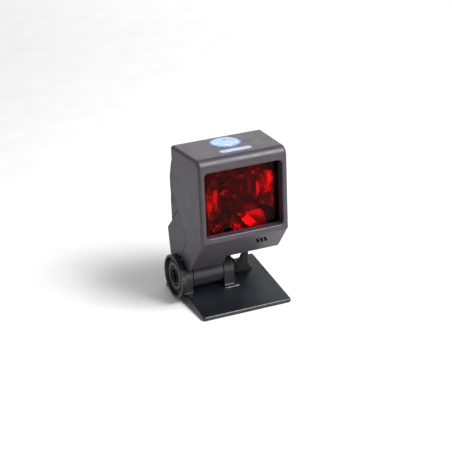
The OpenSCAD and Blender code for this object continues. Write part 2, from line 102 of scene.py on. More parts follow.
def roundOutline(points, radii, steps=6):
    # each corner becomes an arc that touches both edges: its centre lies r / sin(half the angle)
    # along the bisector
    p = np.asarray(points, float)
    r = np.maximum(np.broadcast_to(np.asarray(radii, float), (len(p),)), 0.01)[:, None]
    u, v = unit(np.roll(p, 1, 0) - p), unit(np.roll(p, -1, 0) - p)
    half = np.arccos(np.clip((u * v).sum(-1, keepdims=True), -0.99999, 0.99999)) / 2
    centre = p + unit(u + v) * r / np.sin(half)
    first, last = p + u * r / np.tan(half) - centre, p + v * r / np.tan(half) - centre
    a0 = np.arctan2(first[:, 1], first[:, 0])
    sweep = (np.arctan2(last[:, 1], last[:, 0]) - a0 + pi) % (2 * pi) - pi
    a = a0[:, None] + sweep[:, None] * np.linspace(0, 1, steps + 1)
    return (centre[:, None] + r[:, None] * np.stack([np.cos(a), np.sin(a)], -1)).reshape(-1, 2)


def boxOutline(w, h, centre=(0, 0)):
    return np.array([[-w, -h], [w, -h], [w, h], [-w, h]]) / 2 + centre


def quarter(steps=6):
    return np.linspace(0, pi / 2, steps + 1)


def ringFaces(stations, points, capped):
    # quads between neighbouring rings, and one face over each end
    i, j = np.meshgrid(np.arange(stations - 1), np.arange(points), indexing="ij")
    a, b = i * points + j, i * points + (j + 1) % points
    faces = np.stack([a, b, b + points, a + points], -1).reshape(-1, 4).tolist()
    if capped:
        faces.append(list(range(points - 1, -1, -1)))
        faces.append(list(range((stations - 1) * points, stations * points)))
    return faces


def loopFaces(stations, points):
    # the same grid with its last ring joined to its first
    i, j = np.meshgrid(np.arange(stations), np.arange(points), indexing="ij")
    k = (i + 1) % stations
    return np.stack([i * points + j, i * points + (j + 1) % points, k * points + (j + 1) % points,
                     k * points + j], -1).reshape(-1, 4).tolist()


def makeObject(name, points, faces):
    mesh = bpy.data.meshes.new(name)
    mesh.from_pydata((np.asarray(points, float).reshape(-1, 3) * milli).tolist(), [], faces)
    work = bmesh.new()
    work.from_mesh(mesh)
    bmesh.ops.remove_doubles(work, verts=work.verts, dist=0.004 * milli)
    bmesh.ops.dissolve_degenerate(work, edges=work.edges, dist=0.002 * milli)
    bmesh.ops.recalc_face_normals(work, faces=work.faces)
    work.to_mesh(mesh)
    work.free()
    piece = bpy.data.objects.new(name, mesh)
    bpy.context.scene.collection.objects.link(piece)
    return piece


def ringObject(name, rings, capped=True):
    rings = np.asarray(rings, float)
    return makeObject(name, rings, ringFaces(rings.shape[0], rings.shape[1], capped))


def applyModifiers(piece):
    depsgraph = bpy.context.evaluated_depsgraph_get()
    mesh = bpy.data.meshes.new_from_object(piece.evaluated_get(depsgraph))
    piece.modifiers.clear()
    piece.data = mesh


def combine(piece, others, how):
    for other in others:
        cut = piece.modifiers.new(how, "BOOLEAN")
        cut.operation = how
        cut.solver = "MANIFOLD"
        cut.object = other
    applyModifiers(piece)
    for other in others:
        bpy.data.objects.remove(other)
    work = bmesh.new()
    work.from_mesh(piece.data)
    bmesh.ops.dissolve_limit(work, angle_limit=radians(0.4), verts=work.verts, edges=work.edges)
    work.to_mesh(piece.data)
    work.free()
    return piece


def carve(piece, *cutters):
    return combine(piece, cutters, "DIFFERENCE")


def weld(piece, *others):
    return combine(piece, others, "UNION")


def keepSame(p):
    return p


def along(axis, outlineRings, stations, place=keepSame):
    # outlines carried along an axis: the two outline numbers fill the other two axes in turn
    rings = np.asarray(outlineRings, float)
    s = np.broadcast_to(np.asarray(stations, float)[:, None], rings.shape[:2])
    order = {"x": (s, rings[..., 0], rings[..., 1]), "y": (rings[..., 0], s, rings[..., 1]),
             "z": (rings[..., 0], rings[..., 1], s)}[axis]
    return place(np.stack(order, -1))


def spin(profile, axis, centre, segments=96, place=keepSame):
    # a profile of (distance along the axis, radius) swept round it
    profile = np.asarray(profile, float)
    a = np.linspace(0, 2 * pi, segments, endpoint=False)
    t = np.broadcast_to(profile[:, None, 0], (len(profile), segments))
    p, q = profile[:, 1:2] * np.cos(a), profile[:, 1:2] * np.sin(a)
    grid = {"x": (t, p, q), "y": (p, t, q), "z": (p, q, t)}[axis]
    return place(np.stack(grid, -1) + np.asarray(centre, float))


def spinObject(name, profile, axis, centre, segments=96, place=keepSame):
    # the profile is a closed loop off the axis, or it starts and ends on the axis
    profile = np.asarray(profile, float)
    points = spin(profile, axis, centre, segments, place)
    if min(profile[0, 1], profile[-1, 1]) > 1e-6:
        return makeObject(name, points, loopFaces(len(profile), segments))
    return makeObject(name, points, ringFaces(len(profile), segments, False))


def arcPoints(centre, radius, fromDeg, toDeg, steps=6):
    a = np.radians(np.linspace(fromDeg, toDeg, steps + 1))
    return np.stack([centre[0] + radius * np.cos(a), centre[1] + radius * np.sin(a)], -1)


def softPlug(outline, levels, place, edge=0.4, steps=4):
    # a solid from one level to another whose far rim is rounded by the edge radius
    a = quarter(steps)
    amounts = np.concatenate([[0.0], edge * (1 - np.cos(a))])
    heights = np.concatenate([[levels[0]], levels[1] - edge + edge * np.sin(a)])
    return along("z", [offsetOutline(outline, amount) for amount in amounts], heights, place)


def softPad(outline, levels, place, edge=0.3, steps=3, axis="z"):
    # a solid with both rims rounded
    a = quarter(steps)
    inset = np.concatenate([edge * (1 - np.sin(a)), edge * (1 - np.cos(a))])
    low = levels[0] + edge * (1 - np.cos(a))
    high = levels[1] - edge + edge * np.sin(a)
    rings = [offsetOutline(outline, amount) for amount in inset]
    return along(axis, rings, np.concatenate([low, high]), place)


def finish(piece, body, material, replaces=(), sharpDeg=32):
    piece.data.materials.clear()
    piece.data.materials.append(material)
    piece.data.shade_smooth()
    piece.data.set_sharp_from_angle(angle=radians(sharpDeg))
    even = piece.modifiers.new("even shading", "WEIGHTED_NORMAL")
    even.keep_sharp = True
    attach(piece, body)
    if replaces:
        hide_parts(*replaces)
    print("made", piece.name, len(piece.data.polygons), "faces")
    return piece


def toLinear(hexColour):
    # sRGB hex to linear light
    s = np.array([int(hexColour[i:i + 2], 16) for i in (1, 3, 5)]) / 255
    linear = np.where(s <= 0.04045, s / 12.92, ((s + 0.055) / 1.055) ** 2.4)
    return (*[float(c) for c in linear], 1.0)


def addNode(tree, kind, settings=None, links=None):
    node = tree.nodes.new(kind)
    for key, value in (settings or {}).items():
        if isinstance(key, int) or key in node.inputs:
            node.inputs[key].default_value = value
        else:
            setattr(node, key, value)
    for key, source in (links or {}).items():
        tree.links.new(source, node.inputs[key])
    return node


def newMaterial(name):
    material = bpy.data.materials.new(name)
    material.use_nodes = True
    material.node_tree.nodes.clear()
    return material, material.node_tree


def closeMaterial(tree, shader):
    addNode(tree, "ShaderNodeOutputMaterial", links={"Surface": shader.outputs[0]})


def setRamp(node, stops):
    ramp = node.color_ramp
    while len(ramp.elements) < len(stops):
        ramp.elements.new(1.0)
    for element, (place, colour) in zip(ramp.elements, stops):
        element.position = place
        element.color = toLinear(colour) if isinstance(colour, str) else (colour, colour, colour, 1.0)


def mouldedPlastic(name, look):
    # injection-moulded plastic with a spark-eroded grain: the grain scatters the light, and the skin
    # has cloudy patches of slightly different gloss
    material, tree = newMaterial(name)
    place = addNode(tree, "ShaderNodeTexCoord")
    here = place.outputs["Object"]
    cloud = addNode(tree, "ShaderNodeTexNoise", {"Scale": 1 / (look["cloudMm"] * milli), "Detail": 4.0,
                                                 "Roughness": 0.55}, {"Vector": here})
    grain = addNode(tree, "ShaderNodeTexNoise", {"Scale": 1 / (look["grainMm"] * milli), "Detail": 2.0,
                                                 "Roughness": 0.6}, {"Vector": here})
    mixed = addNode(tree, "ShaderNodeMath", {"operation": "MULTIPLY_ADD", 1: 0.35},
                    {0: grain.outputs["Fac"], 2: cloud.outputs["Fac"]})
    colour = addNode(tree, "ShaderNodeValToRGB", links={"Fac": mixed.outputs[0]})
    setRamp(colour, [(0.42, look["dark"]), (0.66, look["base"]), (0.92, look["light"])])
    gloss = addNode(tree, "ShaderNodeMapRange", {"From Min": 0.3, "From Max": 0.7, "To Min": look["rough"][0],
                                                 "To Max": look["rough"][1]}, {"Value": cloud.outputs["Fac"]})
    bump = addNode(tree, "ShaderNodeBump", {"Strength": look["bump"], "Distance": 0.06 * milli},
                   {"Height": grain.outputs["Fac"]})
    closeMaterial(tree, addNode(tree, "ShaderNodeBsdfPrincipled", {"IOR": look["ior"]}, {
        "Base Color": colour.outputs["Color"], "Roughness": gloss.outputs[0], "Normal": bump.outputs[0]}))
    return material


# the grain of such tools is 0.1 to 0.2 mm; it is drawn 0.35 mm wide or more so that it shows
shellPlastic = mouldedPlastic("spark-eroded ABS, warm dark grey", {
    "dark": "#2b272e", "base": "#332e36", "light": "#3a353d", "cloudMm": 9, "grainMm": 0.45,
    "rough": (0.38, 0.5), "bump": 0.35, "ior": 1.53})
coverPlastic = mouldedPlastic("spark-eroded ABS, back covers", {
    "dark": "#34333a", "base": "#3c3b43", "light": "#44434c", "cloudMm": 8, "grainMm": 0.45,
    "rough": (0.45, 0.6), "bump": 0.35, "ior": 1.53})
standPlastic = mouldedPlastic("fine-etched ABS, blue-black stand", {
    "dark": "#131419", "base": "#181920", "light": "#1d1e26", "cloudMm": 12, "grainMm": 0.4,
    "rough": (0.26, 0.36), "bump": 0.25, "ior": 1.53})
hingePlastic = mouldedPlastic("moulded glass-filled nylon, hinge", {
    "dark": "#18171b", "base": "#1f1e23", "light": "#26252b", "cloudMm": 6, "grainMm": 0.4,
    "rough": (0.32, 0.42), "bump": 0.2, "ior": 1.53})
ringPlastic = mouldedPlastic("moulded glass-filled nylon, port ring", {
    "dark": "#131216", "base": "#19181c", "light": "#201f24", "cloudMm": 6, "grainMm": 0.4,
    "rough": (0.3, 0.4), "bump": 0.2, "ior": 1.53})
strutPlastic = mouldedPlastic("moulded glass-filled nylon, black prop", {
    "dark": "#0c0c0e", "base": "#121215", "light": "#19191d", "cloudMm": 6, "grainMm": 0.4,
    "rough": (0.6, 0.7), "bump": 0.2, "ior": 1.53})
socketPlastic = mouldedPlastic("moulded PBT, black socket", {
    "dark": "#0c0c0e", "base": "#111114", "light": "#18181c", "cloudMm": 3, "grainMm": 0.35,
    "rough": (0.3, 0.4), "bump": 0.15, "ior": 1.55})
innerPlastic = mouldedPlastic("moulded ABS, black base plate", {
    "dark": "#17161a", "base": "#201e23", "light": "#2a282e", "cloudMm": 5, "grainMm": 0.4,
    "rough": (0.5, 0.65), "bump": 0.3, "ior": 1.53})


def rubberMaterial():
    # moulded rubber: matt, a little dusty, with a soft sheen at the rim
    material, tree = newMaterial("moulded rubber, matt black")
    here = addNode(tree, "ShaderNodeTexCoord").outputs["Object"]
    dust = addNode(tree, "ShaderNodeTexNoise", {"Scale": 1 / (0.5 * milli), "Detail": 3.0}, {"Vector": here})
    colour = addNode(tree, "ShaderNodeValToRGB", links={"Fac": dust.outputs["Fac"]})
    setRamp(colour, [(0.35, "#131314"), (0.75, "#222224")])
    bump = addNode(tree, "ShaderNodeBump", {"Strength": 0.3, "Distance": 0.05 * milli},
                   {"Height": dust.outputs["Fac"]})
    closeMaterial(tree, addNode(tree, "ShaderNodeBsdfPrincipled", {
        "Roughness": 0.8, "IOR": 1.52, "Sheen Weight": 0.1}, {
        "Base Color": colour.outputs["Color"], "Normal": bump.outputs[0]}))
    return material


def metalMaterial(name, look):
    # metal with fine turning or rolling lines, which stretch the highlight
    material, tree = newMaterial(name)
    here = addNode(tree, "ShaderNodeTexCoord").outputs["Object"]
    stretched = addNode(tree, "ShaderNodeMapping", {"Scale": look["stretch"]}, {"Vector": here})
    lines = addNode(tree, "ShaderNodeTexNoise", {"Scale": 1 / (look["lineMm"] * milli), "Detail": 2.0},
                    {"Vector": stretched.outputs[0]})
    colour = addNode(tree, "ShaderNodeValToRGB", links={"Fac": lines.outputs["Fac"]})
    setRamp(colour, [(0.3, look["dark"]), (0.7, look["light"])])
    gloss = addNode(tree, "ShaderNodeMapRange", {"From Min": 0.3, "From Max": 0.7, "To Min": look["rough"][0],
                                                 "To Max": look["rough"][1]}, {"Value": lines.outputs["Fac"]})
    bump = addNode(tree, "ShaderNodeBump", {"Strength": look["bump"], "Distance": 0.02 * milli},
                   {"Height": lines.outputs["Fac"]})
    closeMaterial(tree, addNode(tree, "ShaderNodeBsdfPrincipled", {"Metallic": 1.0}, {
        "Base Color": colour.outputs["Color"], "Roughness": gloss.outputs[0], "Normal": bump.outputs[0]}))
    return material


steel = metalMaterial("zinc-plated steel screws", {
    "dark": "#8d9096", "light": "#b9bcc2", "rough": (0.25, 0.4), "bump": 0.15,
    "lineMm": 0.4, "stretch": (1, 1, 6)})
motorSteel = metalMaterial("pressed steel motor can", {
    "dark": "#6c7077", "light": "#90949c", "rough": (0.3, 0.42), "bump": 0.1,
    "lineMm": 0.5, "stretch": (1, 6, 1)})
blackSteel = metalMaterial("black-oxide steel pivot bolt", {
    "dark": "#17171a", "light": "#29292d", "rough": (0.35, 0.5), "bump": 0.1,
    "lineMm": 0.5, "stretch": (6, 1, 1)})
laserBrass = metalMaterial("turned brass laser barrel", {
    "dark": "#9a7430", "light": "#c9a355", "rough": (0.2, 0.34), "bump": 0.2,
    "lineMm": 0.4, "stretch": (8, 1, 1)})
contactGold = metalMaterial("gold-flashed phosphor bronze", {
    "dark": "#b98f2e", "light": "#e6c56a", "rough": (0.15, 0.25), "bump": 0.05,
    "lineMm": 0.4, "stretch": (5, 1, 1)})


def paintedRedGlints(tree, here, look):
    # painted red reflections in hard-edged streaks: a noise stretched along each part and cut off below a
    # level
    stretched = addNode(tree, "ShaderNodeMapping", {"Scale": look["stretch"], "Location": look["shift"]},
                        {"Vector": here})
    noise = addNode(tree, "ShaderNodeTexNoise", {"Scale": 1 / (look["patchMm"] * milli), "Detail": 3.0,
                                                 "Distortion": 0.8}, {"Vector": stretched.outputs[0]})
    return addNode(tree, "ShaderNodeMapRange", {"From Min": look["from"], "From Max": look["from"] + 0.1,
                                                "To Min": look["dim"], "To Max": look["bright"]},
                   {"Value": noise.outputs["Fac"]}).outputs[0]


def glintPaintedPart(name, look):
    # a part inside the hollow with painted red reflections glowing on it besides its own surface
    material, tree = newMaterial(name)
    here = addNode(tree, "ShaderNodeTexCoord").outputs["Object"]
    dust = addNode(tree, "ShaderNodeTexNoise", {"Scale": 1 / (0.6 * milli), "Detail": 2.0}, {"Vector": here})
    gloss = addNode(tree, "ShaderNodeMapRange", {"To Min": look["rough"][0], "To Max": look["rough"][1]},
                    {"Value": dust.outputs["Fac"]})
    # the emission is painted light: red glow patches in place of reflections of the bright surroundings
    closeMaterial(tree, addNode(tree, "ShaderNodeBsdfPrincipled", {
        "Base Color": toLinear(look["colour"]), "Metallic": look["metallic"],
        "Emission Color": toLinear("#ff2a20")}, {
        "Roughness": gloss.outputs[0], "Emission Strength": paintedRedGlints(tree, here, look)}))
    return material


# the mirrors and the black frame both carry painted red reflections as emission
mirrorCoat = glintPaintedPart("evaporated aluminium mirror, painted red glints", {
    "colour": "#e6e9ec", "metallic": 1.0, "rough": (0.04, 0.12), "stretch": (1.0, 1.0, 0.6),
    "shift": (0, 0, 0), "patchMm": 8, "from": 0.53, "dim": 0.02, "bright": 1.3})
framePlastic = glintPaintedPart("moulded ABS, black optics frame, painted red glints", {
    "colour": "#121113", "metallic": 0.0, "rough": (0.35, 0.5), "stretch": (1.6, 1.0, 0.35),
    "shift": (0.004, 0, 0), "patchMm": 5, "from": 0.56, "dim": 0.02, "bright": 0.25})


def plainPart(name, look):
    # small inner parts: an even colour broken by a soft mottle, with the gloss of the material
    material, tree = newMaterial(name)
    here = addNode(tree, "ShaderNodeTexCoord").outputs["Object"]
    mottle = addNode(tree, "ShaderNodeTexNoise", {"Scale": 1 / (look["mottleMm"] * milli), "Detail": 3.0},
                     {"Vector": here})
    colour = addNode(tree, "ShaderNodeValToRGB", links={"Fac": mottle.outputs["Fac"]})
    setRamp(colour, [(0.35, look["dark"]), (0.7, look["light"])])
    bump = addNode(tree, "ShaderNodeBump", {"Strength": look["bump"], "Distance": 0.05 * milli},
                   {"Height": mottle.outputs["Fac"]})
    closeMaterial(tree, addNode(tree, "ShaderNodeBsdfPrincipled", {
        "Roughness": look["rough"], "IOR": look["ior"]}, {
        "Base Color": colour.outputs["Color"], "Normal": bump.outputs[0]}))
    return material


# each small part's two tones, the size of its mottle, its grain, gloss and refractive index
acetal = plainPart("natural acetal bush", {
    "dark": "#cfc9b8", "light": "#e0dbcc", "mottleMm": 1.5, "bump": 0.1, "rough": 0.4, "ior": 1.48})
fibre = plainPart("friction fibre washer", {
    "dark": "#4f3420", "light": "#7a5535", "mottleMm": 0.5, "bump": 0.5, "rough": 0.85, "ior": 1.5})
boardLacquer = plainPart("solder-masked glass-fibre board", {
    "dark": "#175431", "light": "#1f6b3d", "mottleMm": 0.8, "bump": 0.2, "rough": 0.35, "ior": 1.5})
chipResin = plainPart("epoxy chip package", {
    "dark": "#151517", "light": "#1f1f22", "mottleMm": 0.5, "bump": 0.15, "rough": 0.55, "ior": 1.55})
whiteNylon = plainPart("natural nylon connector", {
    "dark": "#d9d3c2", "light": "#ece7da", "mottleMm": 1, "bump": 0.1, "rough": 0.5, "ior": 1.53})
filmPolyimide = plainPart("flexible ribbon lead", {
    "dark": "#a9a294", "light": "#c4beb0", "mottleMm": 2, "bump": 0.1, "rough": 0.35, "ior": 1.6})
gauzeCloth = plainPart("woven acoustic gauze", {
    "dark": "#050506", "light": "#17171a", "mottleMm": 0.35, "bump": 0.8, "rough": 0.9, "ior": 1.5})
filterGlass = plainPart("deep red filter glass", {
    "dark": "#5c070b", "light": "#7d0a10", "mottleMm": 3, "bump": 0.0, "rough": 0.1, "ior": 1.52})


def redAcrylic():
    # cast acrylic dyed deep red: it swallows all but red, so the hollow behind looks nearly black
    material, tree = newMaterial("cast red acrylic window")
    here = addNode(tree, "ShaderNodeTexCoord").outputs["Object"]
    wave = addNode(tree, "ShaderNodeTexNoise", {"Scale": 1 / (14 * milli), "Detail": 1.0}, {"Vector": here})
    gloss = addNode(tree, "ShaderNodeMapRange", {"To Min": 0.01, "To Max": 0.05},
                    {"Value": wave.outputs["Fac"]})
    pane = addNode(tree, "ShaderNodeBsdfPrincipled", {
        "Base Color": toLinear("#f01c1c"), "Transmission Weight": 1.0, "IOR": 1.49},
        {"Roughness": gloss.outputs[0]})
    clear = addNode(tree, "ShaderNodeBsdfTransparent", {"Color": toLinear("#d81c18")})
    # a thin flat pane hardly bends light, so most of it is a plain filter and the rest gives a weak gloss
    filterShare = 0.9
    closeMaterial(tree, addNode(tree, "ShaderNodeMixShader", {0: filterShare},
                                {1: pane.outputs[0], 2: clear.outputs[0]}))
    return material


def litPlastic(name, look):
    # frosted polycarbonate lit from below: brighter, whiter clouds where the lamps sit behind it
    material, tree = newMaterial(name)
    here = addNode(tree, "ShaderNodeTexCoord").outputs["Object"]
    cloud = addNode(tree, "ShaderNodeTexNoise", {"Scale": 1 / (look["cloudMm"] * milli), "Detail": 3.0,
                                                 "Roughness": 0.6}, {"Vector": here})
    colour = addNode(tree, "ShaderNodeValToRGB", links={"Fac": cloud.outputs["Fac"]})
    setRamp(colour, [(0.36, look["deep"]), (0.5, look["mid"]), (0.64, look["bright"])])
    bump = addNode(tree, "ShaderNodeBump", {"Strength": 0.2, "Distance": 0.1 * milli},
                   {"Height": cloud.outputs["Fac"]})
    closeMaterial(tree, addNode(tree, "ShaderNodeBsdfPrincipled", {
        "Roughness": 0.3, "IOR": 1.58, "Emission Strength": look["glow"],
        "Base Color": toLinear(look["body"])}, {
        "Emission Color": colour.outputs["Color"], "Normal": bump.outputs[0]}))
    return material


buttonPlastic = litPlastic("frosted polycarbonate button, lit", {
    "deep": "#86b4ea", "mid": "#a9d0f8", "bright": "#dff0ff", "body": "#33445c", "cloudMm": 5, "glow": 0.62})
haloPlastic = litPlastic("frosted polycarbonate halo, lit blue", {
    "deep": "#3450a8", "mid": "#4a68c0", "bright": "#7c9ae8", "body": "#1c2748", "cloudMm": 4, "glow": 0.6})
barPlastic = litPlastic("frosted polycarbonate light bar, lit", {
    "deep": "#a9b6ee", "mid": "#c3cbf6", "bright": "#dfe4fd", "body": "#3a3d55", "cloudMm": 5, "glow": 0.6})
windowAcrylic = redAcrylic()
rubber = rubberMaterial()
print("materials ready")

head = {
    "chinSlope": 48.65, "chinFree": 27.4, "chinLeg": 39.5,   # the chin's slope and its two lengths
    "height": 65.6, "splayDepth": 55.0, "lipBack": 48.7, "lipLow": 60.4,
    "frontHalf": 36.45, "backHalf": 38.5,    # half widths at the front face and at the back edge
    "legRight": -8.5, "wall": 2.0,
    "sideRound": 2.4, "topRound": 7.0, "seamRound": 0.25,
    "chinRounds": [1.6, 1.2, 0.8, 0.5], "lipRounds": [0.4, 2.2],
    "postAt": [(-27.5, 58.6), (27.5, 58.6), (-27.5, 0), (27.5, 0)], "postSide": 5.2, "postReach": [9.2, 33.8],
    "legClear": 0.6,   # how far the free side's end sits towards the underside
    "seam": [(39.2, 16.5), (44.8, 34.6), (46.9, 50.6), (47.0, 60.9)],
    "kink": (26.2, -6.6), "underside": (41.2, -23.9), "legEnd": (32.5, -31.9),
}


def alongChin(d):
    a = radians(head["chinSlope"])
    return d * cos(a), -d * sin(a)


def halfWidth(y):
    # the sides open from the front face to the back edge
    return head["frontHalf"] + (head["backHalf"] - head["frontHalf"]) * y / head["splayDepth"]


# side outline from the front's lower edge, round the chin, up the seams and over the top,
# with the leg or without
backOutline = [head["underside"], head["kink"], *head["seam"], (head["lipBack"], head["lipLow"]),
               (head["lipBack"], head["height"]), (0, head["height"])]
legOutline = np.array([(0, 0), alongChin(head["chinLeg"]), head["legEnd"], *backOutline])
freeEnd = np.array(alongChin(head["chinFree"]))
freeSide = freeEnd + (np.array(head["underside"]) - freeEnd) * head["legClear"]
bodyOutline = np.array([(0, 0), freeEnd, freeSide, *backOutline])
shellRounds = np.array([*head["chinRounds"], 0.1, 0.1, 0.1, 0.1, 0.1, *head["lipRounds"], head["topRound"]])
# edges in the same order: chin, leg end, leg back, then six at the seams, back of the lip, top, front
softShare = np.array([1, 1, 1, 0, 0, 0, 0, 0, 0, 1, 1, 1])
edgeRounds = softShare * (head["sideRound"] - head["seamRound"]) + head["seamRound"]


def carryAcross(outlines, radii, edges, places):
    # outlines carried from left to right, and each ring's edges move inwards before they are rounded
    rings, stations = [], []
    for outline, amounts, x in zip(outlines, edges, places):
        moved = roundOutline(offsetOutline(outline, amounts), np.maximum(radii - amounts, 0.05))
        rings.append(moved)
        stations.append(x(moved[:, 0]) if callable(x) else np.full(len(moved), x))
    rings = np.stack(rings)
    return headToFrame(np.stack([np.stack(stations), rings[..., 0], rings[..., 1]], -1))


def sideAt(sign, s, inward=0.0):
    return lambda y: sign * (halfWidth(y) - s - inward)


def softEnds(outline, radii, edges, sideRound, inward=0.0):
    # both ends shrink along a quarter circle, so that the side edges are round
    a = quarter(6)
    turns = np.concatenate([a, a[::-1]])
    signs = np.repeat([-1, 1], len(a))
    return carryAcross([outline] * len(turns), radii, [edges * (1 - np.sin(t)) for t in turns],
                       [sideAt(g, sideRound * (1 - np.cos(t)), inward) for g, t in zip(signs, turns)])


def shellRings():
    # the leg's step is two rings at one station
    a = quarter(6)
    outlines = [legOutline] * (len(a) + 1) + [bodyOutline] * (len(a) + 1)
    still = edgeRounds * 0
    edges = [edgeRounds * (1 - np.sin(t)) for t in a]
    leftPlaces = [sideAt(-1, head["sideRound"] * (1 - np.cos(t))) for t in a]
    rightPlaces = [sideAt(1, head["sideRound"] * (1 - np.cos(t))) for t in a[::-1]]
    return carryAcross(outlines, shellRounds, edges + [still, still] + edges[::-1],
                       leftPlaces + [head["legRight"]] * 2 + rightPlaces)


def hollowRings():
    # a wall's thickness inside, and past the seams so that the back is open
    opening = np.array([1, 1, 1, -0.6, -0.6, -0.6, -0.6, -0.6, -0.6, 1, 1, 1]) * head["wall"]
    step = head["legRight"] - head["wall"]
    return carryAcross([legOutline, legOutline, bodyOutline, bodyOutline], shellRounds, [opening] * 4,
                       [sideAt(-1, 0, head["wall"]), step, step, sideAt(1, 0, head["wall"])])


def windowOutline(grow=0.0):
    return roundOutline(boxOutline(window["width"] + 2 * grow, window["height"] + 2 * grow,
                                   (0, window["low"] + window["height"] / 2)), window["corner"] + grow / 2)


def slotOutline(i):
    q = boxOutline(speaker["slotWidth"], speaker["slotLength"])
    x = speaker["x"] + speaker["pitch"] * i + q[:, 0] + q[:, 1] * speaker["slant"]
    return roundOutline(np.stack([x, speaker["down"] + q[:, 1]], -1), 0.5)


def chinToFrame(p):
    return headToFrame(chinToHead(p))


def makeFrontShell():
    shell = ringObject("front_shell_moulding", shellRings())
    carve(shell, ringObject("hollow", hollowRings()))
    tunnelWall = ringObject("tunnel", along("y", [windowOutline(window["wall"])] * 2,
                                            [0.8, window["tunnel"]], headToFrame))
    side, postRound = head["postSide"], 2.5
    posts = [ringObject(f"post {i}", along("y", [roundOutline(boxOutline(side, side, at), postRound)] * 2,
                                           head["postReach"], headToFrame))
             for i, at in enumerate(head["postAt"])]
    weld(shell, tunnelWall, *posts)
    a = quarter(5)
    flare = np.concatenate([[window["lip"]], window["lip"] * (1 - np.sin(a)), [0]])
    depth = np.concatenate([[-1], window["lip"] * (1 - np.cos(a)), [window["tunnel"] + 1]])
    windowCut = ringObject("window cut", along("y", [windowOutline(f) for f in flare], depth, headToFrame))
    top, low, over = head["height"], head["height"] - 6, head["height"] + 1
    holeR = button["radius"] + button["gap"] + button["halo"] + 0.05
    brokenEdge = holeR + 0.15
    hole = spinObject("button cut", [(low, 0), (low, holeR), (top - 0.3, holeR), (top, brokenEdge),
                                     (over, brokenEdge), (over, 0)], "z", (*button["at"], 0),
                      place=headToFrame)
    barOutline = roundOutline(boxOutline(lightBar["length"] + 0.2, lightBar["width"] + 0.2, lightBar["at"]),
                              lightBar["width"] / 2 + 0.09)
    barHole = ringObject("bar cut", along("z", [barOutline] * 2, [low, over], headToFrame))
    through = [-1, head["wall"] + 1]
    slots = [ringObject(f"slot cut {i}", along("z", [slotOutline(i)] * 2, through, chinToFrame))
             for i in range(speaker["slots"])]
    carve(shell, windowCut, hole, barHole, *slots)
    return finish(shell, "head", shellPlastic, ["front_shell"], sharpDeg=28)


window = {"width": 63.7, "height": 51.5, "low": 4.0, "corner": 3.0, "lip": 1.4, "front": 7.4, "thick": 1.6,
          "tunnel": 6.8, "wall": 1.4, "hidden": 1.35}   # hidden: how far the pane reaches behind the wall
button = {"at": (0.7, 33.0), "radius": 11.0, "gap": 0.2, "halo": 1.4, "dish": 0.35, "proud": 0.42,
          "skirt": (2.8, 4.2), "stemR": 1.7, "stemEnd": 60.7}
lightBar = {"at": (0.5, 14.0), "length": 26.0, "width": 6.0, "deep": 4.4, "proud": 0.15}
speaker = {"slots": 3, "x": 12.9, "pitch": 3.3, "down": 10.7, "slotWidth": 2.4, "slotLength": 7.4,
           "slant": 0.5}
makeFrontShell()

rear = {
    "inward": 0.5, "round": 2.6,
    "outline": [*head["seam"][::-1], (55.0, 1.2), (55.0, 39.0), (52.0, 50.0)],
    "radii": [0.3, 0.1, 0.1, 0.3, 1.5, 8.0, 6.0],
    "screwAt": [(-25, 28), (25, 28)], "screwSeat": 53.8,
    "thumbAt": (50.0, 25.0), "thumbR": 7.0, "thumbDepth": 1.5,   # shallow round dishes to hold it by
    "hollow": 36,
}
lower = {
    "round": 2.2, "gap": 0.1,
    "outline": [head["seam"][0], head["kink"], head["underside"], (53.5, -31.2), (58.9, -26.3),
                (61.9, -5.5)],
    "radii": [0.3, 0.3, 0.6, 1.2, 2.5, 3.0], "hollow": 36.4,
    "screwAt": [(-27, -13), (27, -13)], "screwSeat": 59.5,
}


def screwWells(look, reach, wide=2.6):
    seat = look["screwSeat"]
    return [spinObject(f"well {i}", [(seat, 0), (seat, wide), (reach, wide), (reach, 0)], "y",
                       (at[0], 0, at[1]), 32, headToFrame) for i, at in enumerate(look["screwAt"])]


def dishCut(name, sign, side, at, radius, depth):
    # a ball whose cap is a shallow dish: ball radius = (radius^2 + depth^2) / (2 depth)
    ball = (radius ** 2 + depth ** 2) / (2 * depth)
    profile = arcPoints((0, 0), ball, 0, 180, 48)
    return spinObject(name, np.stack([profile[:, 0], np.maximum(profile[:, 1], 0)], -1), "x",
                      (sign * (side + ball - depth), *at), 96, headToFrame)


def makeRearCover():
    outline, radii = np.array(rear["outline"]), np.array(rear["radii"])
    edges = np.array([0.3, 0.3, 0.3, 0.4, 1, 1, 1]) * rear["round"]
    cover = ringObject("rear_cover_moulding", softEnds(outline, radii, edges, rear["round"], rear["inward"]))
    inner = np.array([-1, -1, -1, 1, 1, 1, 1]) * head["wall"]
    hollow = ringObject("hollow", carryAcross([outline] * 2, radii, [inner] * 2,
                                              [-rear["hollow"], rear["hollow"]]))
    side = head["backHalf"] - rear["inward"]
    dishes = [dishCut(f"dish {g}", g, side, rear["thumbAt"], rear["thumbR"], rear["thumbDepth"])
              for g in (-1, 1)]
    carve(cover, hollow, *dishes, *screwWells(rear, 60))
    return finish(cover, "head", coverPlastic, ["rear_cover"])


def makeLowerCover():
    outline = offsetOutline(np.array(lower["outline"]), np.array([1, 1, 0, 0, 0, 1]) * lower["gap"])
    radii = np.array(lower["radii"])
    edges = np.array([0.1, 0.1, 0.4, 1, 1, 0.15]) * lower["round"]
    cover = ringObject("lower_cover_moulding", softEnds(outline, radii, edges, lower["round"]))
    inner = np.array([-1.5, 1, 1, 1, 1, 1]) * head["wall"]
    hollow = ringObject("hollow", carryAcross([outline] * 2, radii, [inner] * 2,
                                              [-lower["hollow"], lower["hollow"]]))
    carve(cover, hollow, *screwWells(lower, 70))
    return finish(cover, "head", coverPlastic, ["lower_cover"])


makeRearCover()
makeLowerCover()


